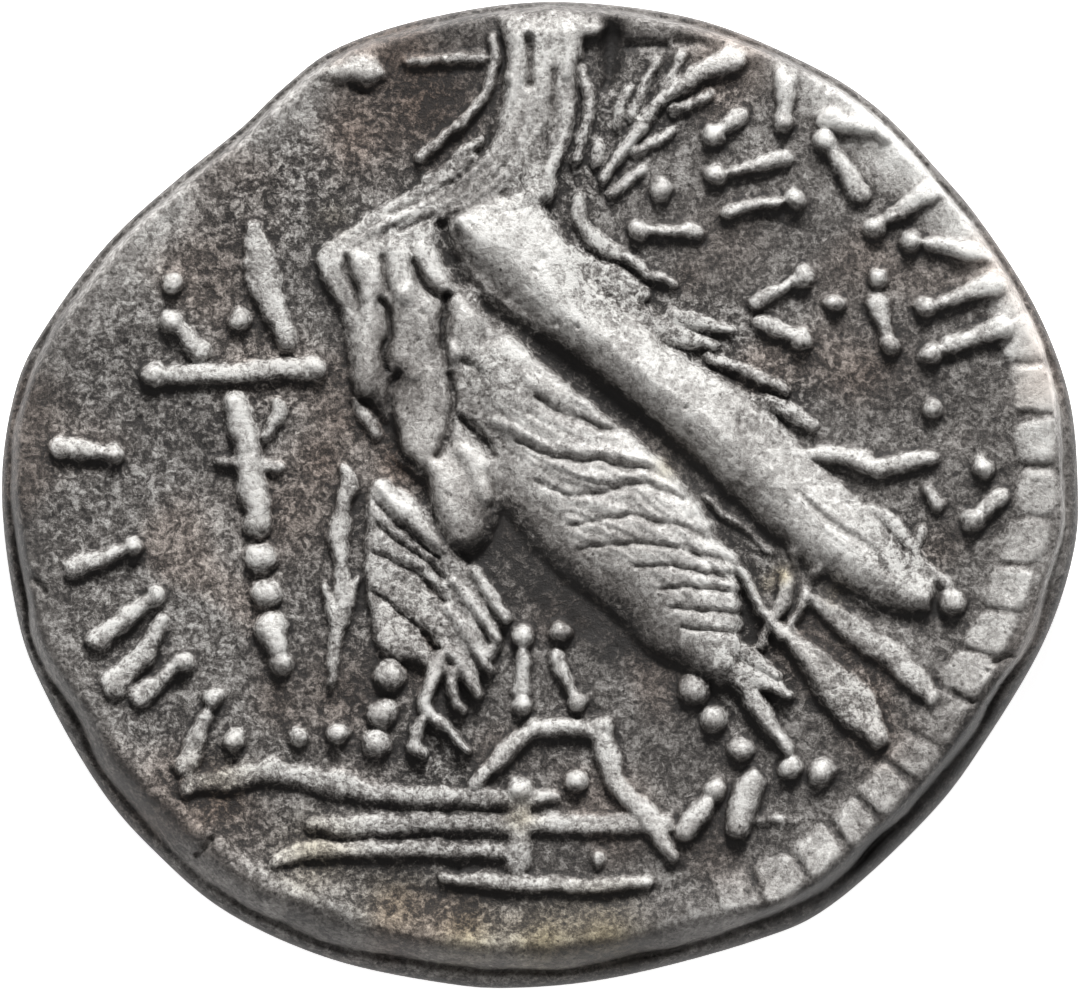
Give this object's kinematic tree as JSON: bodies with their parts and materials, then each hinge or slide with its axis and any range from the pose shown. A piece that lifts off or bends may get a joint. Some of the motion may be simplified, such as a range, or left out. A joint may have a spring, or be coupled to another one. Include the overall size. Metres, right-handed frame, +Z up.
{
  "type": "coin",
  "caption": "Thick hand-struck ancient silver coin lying flat: an eagle on a ship's prow on its upper side, a plain head in profile underneath, worn and toned.",
  "frame": {"origin": "on the table under the middle of the coin's bounding box, where the worn high points of its head side rest", "axes": "+Z up out of the eagle side, +X to the right along the longer side of the flan, +Y to the top of the eagle side, where the eagle's neck runs off the edge"},
  "size_m": [0.027, 0.0246, 0.0035],
  "materials": {
    "worn_silver": "worn silver, bright on the high points and dark brown-grey with old patina in the field and round the relief"
  },
  "bodies": {
    "root": {"coin": "worn_silver"}
  },
  "joints": []
}
